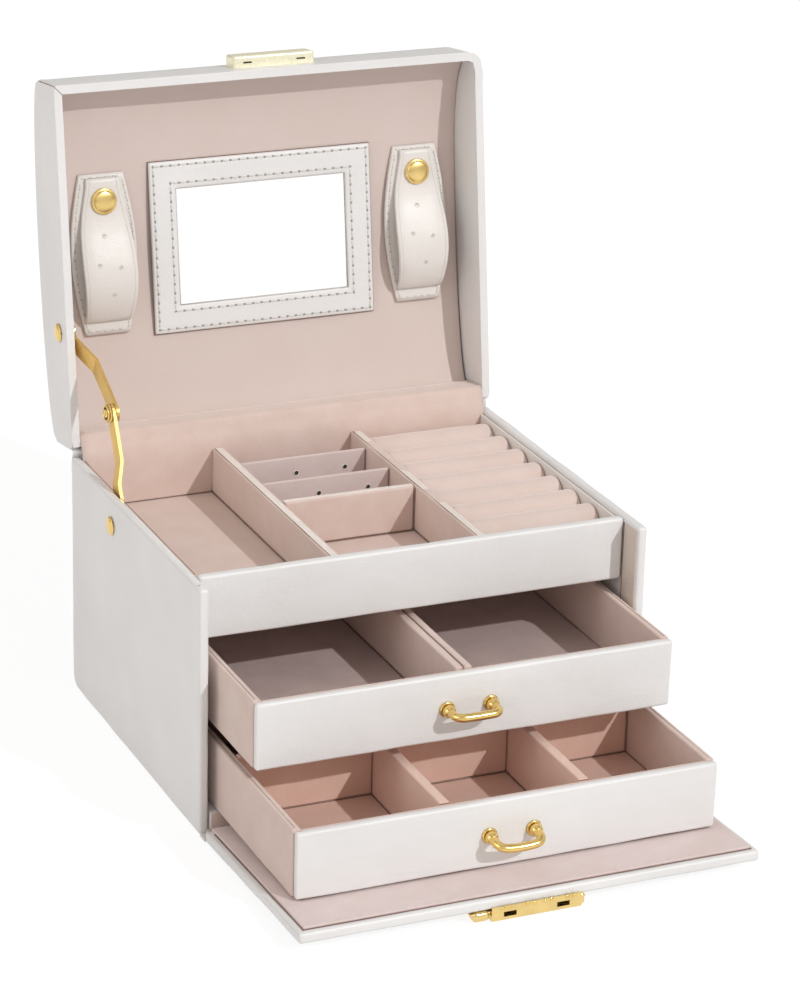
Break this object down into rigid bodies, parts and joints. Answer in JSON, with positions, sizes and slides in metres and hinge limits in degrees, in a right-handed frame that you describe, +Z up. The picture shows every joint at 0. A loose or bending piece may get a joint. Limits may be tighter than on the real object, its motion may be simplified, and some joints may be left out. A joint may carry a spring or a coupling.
{
  "type": "tiered jewelry box",
  "caption": "Leather-covered jewelry box with a domed mirror lid on a hinged stay, a divided ring tray, pull-out drawers and a drop-down front flap with a lock.",
  "frame": {"origin": "middle of the base's underside, on the surface that the box stands on", "axes": "+Z up, the drawers open towards -Y, +X to the right of someone who faces the drawers"},
  "size_m": [0.1764, 0.2779, 0.2407],
  "materials": {
    "white_leather": "pearly grain",
    "pink_velvet": "short velvet nap",
    "gold_metal": "polished gold",
    "mirror": "silvered glass"
  },
  "bodies": {
    "box": {"base_board": "white_leather", "left_side_panel": "white_leather", "right_side_panel": "white_leather", "back_panel": "white_leather", "drawer_shelf": "pink_velvet", "back_hinge_strip": "white_leather", "flap_hinge_strip": "white_leather", "tray_front_panel": "white_leather", "tray_floor": "pink_velvet", "tray_back_lining": "pink_velvet", "tray_right_lining": "pink_velvet", "tray_divider_left": "pink_velvet", "tray_divider_right": "pink_velvet", "tray_cross_divider": "pink_velvet", "earring_panel_front": "pink_velvet", "earring_panel_rear": "pink_velvet", "ring_roll_1": "pink_velvet", "ring_roll_2": "pink_velvet", "ring_roll_3": "pink_velvet", "ring_roll_4": "pink_velvet", "ring_roll_5": "pink_velvet", "ring_roll_6": "pink_velvet", "ring_roll_7": "pink_velvet", "body_rivet": "gold_metal"},
    "lid": {"lid_shell": "white_leather", "lid_left_side": "white_leather", "lid_right_side": "white_leather", "lid_lining": "pink_velvet", "mirror_frame": "white_leather", "mirror_glass": "mirror", "left_strap_backing": "white_leather", "right_strap_backing": "white_leather", "latch_bar": "gold_metal", "lid_rivet": "gold_metal"},
    "stay_lower": {"stay_lower_link": "gold_metal", "elbow_rivet": "gold_metal"},
    "stay_upper": {"stay_upper_link": "gold_metal"},
    "left_strap": {"left_strap": "white_leather", "left_snap_cap": "gold_metal"},
    "right_strap": {"right_strap": "white_leather", "right_snap_cap": "gold_metal"},
    "flap": {"flap_board": "white_leather", "flap_lining": "pink_velvet", "lock_base_plate": "gold_metal", "lock_case": "gold_metal"},
    "key": {"key_cylinder": "gold_metal"},
    "bolt": {"lock_bolt": "gold_metal"},
    "upper_drawer": {"upper_drawer_front": "white_leather", "upper_drawer_tray": "pink_velvet", "upper_drawer_divider_left": "pink_velvet", "upper_drawer_divider_right": "pink_velvet", "upper_drawer_handle": "gold_metal"},
    "lower_drawer": {"lower_drawer_front": "white_leather", "lower_drawer_tray": "pink_velvet", "lower_drawer_divider_left": "pink_velvet", "lower_drawer_divider_right": "pink_velvet", "lower_drawer_cross_divider": "pink_velvet", "lower_drawer_handle": "gold_metal"}
  },
  "joints": [
    {"name": "lid_hinge", "type": "hinge", "parent": "box", "child": "lid", "pos_m": [0, 0.0715, 0.0985], "axis": [-1, 0, 0], "range_deg": [-97.6, 0]},
    {"name": "stay_lower_pivot", "type": "hinge", "parent": "box", "child": "stay_lower", "pos_m": [-0.0828, 0.0237, 0.0841], "axis": [-1, 0, 0], "range_deg": [-99, 0]},
    {"name": "stay_upper_pivot", "type": "hinge", "parent": "lid", "child": "stay_upper", "pos_m": [-0.0834, 0.083, 0.14085], "axis": [-1, 0, 0], "range_deg": [0, 117]},
    {"name": "left_strap_fold", "type": "hinge", "parent": "lid", "child": "left_strap", "pos_m": [-0.065, 0.09044, 0.14218], "axis": [1, 0, 0], "range_deg": [0, 100]},
    {"name": "right_strap_fold", "type": "hinge", "parent": "lid", "child": "right_strap", "pos_m": [0.065, 0.09044, 0.14218], "axis": [1, 0, 0], "range_deg": [0, 100]},
    {"name": "flap_hinge", "type": "hinge", "parent": "box", "child": "flap", "pos_m": [0, -0.0763, 0.0003], "axis": [1, 0, 0], "range_deg": [0, 90]},
    {"name": "key_turn", "type": "hinge", "parent": "flap", "child": "key", "pos_m": [0, -0.16213, 0.00035], "axis": [0, -0.0431, -0.9991], "range_deg": [0, 90]},
    {"name": "lock_bolt_slide", "type": "slide", "parent": "flap", "child": "bolt", "axis": [1, 0, 0], "range_m": [0, 0.004]},
    {"name": "upper_drawer_slide", "type": "slide", "parent": "box", "child": "upper_drawer", "axis": [0, -1, 0], "range_m": [-0.0481, 0.03]},
    {"name": "lower_drawer_slide", "type": "slide", "parent": "box", "child": "lower_drawer", "axis": [0, -1, 0], "range_m": [-0.0861, 0]}
  ],
  "couplings": [
    {"joint": "stay_lower_pivot", "follows": "lid_hinge", "ratio": 1.0085},
    {"joint": "stay_upper_pivot", "follows": "lid_hinge", "ratio": -1.1843}
  ]
}
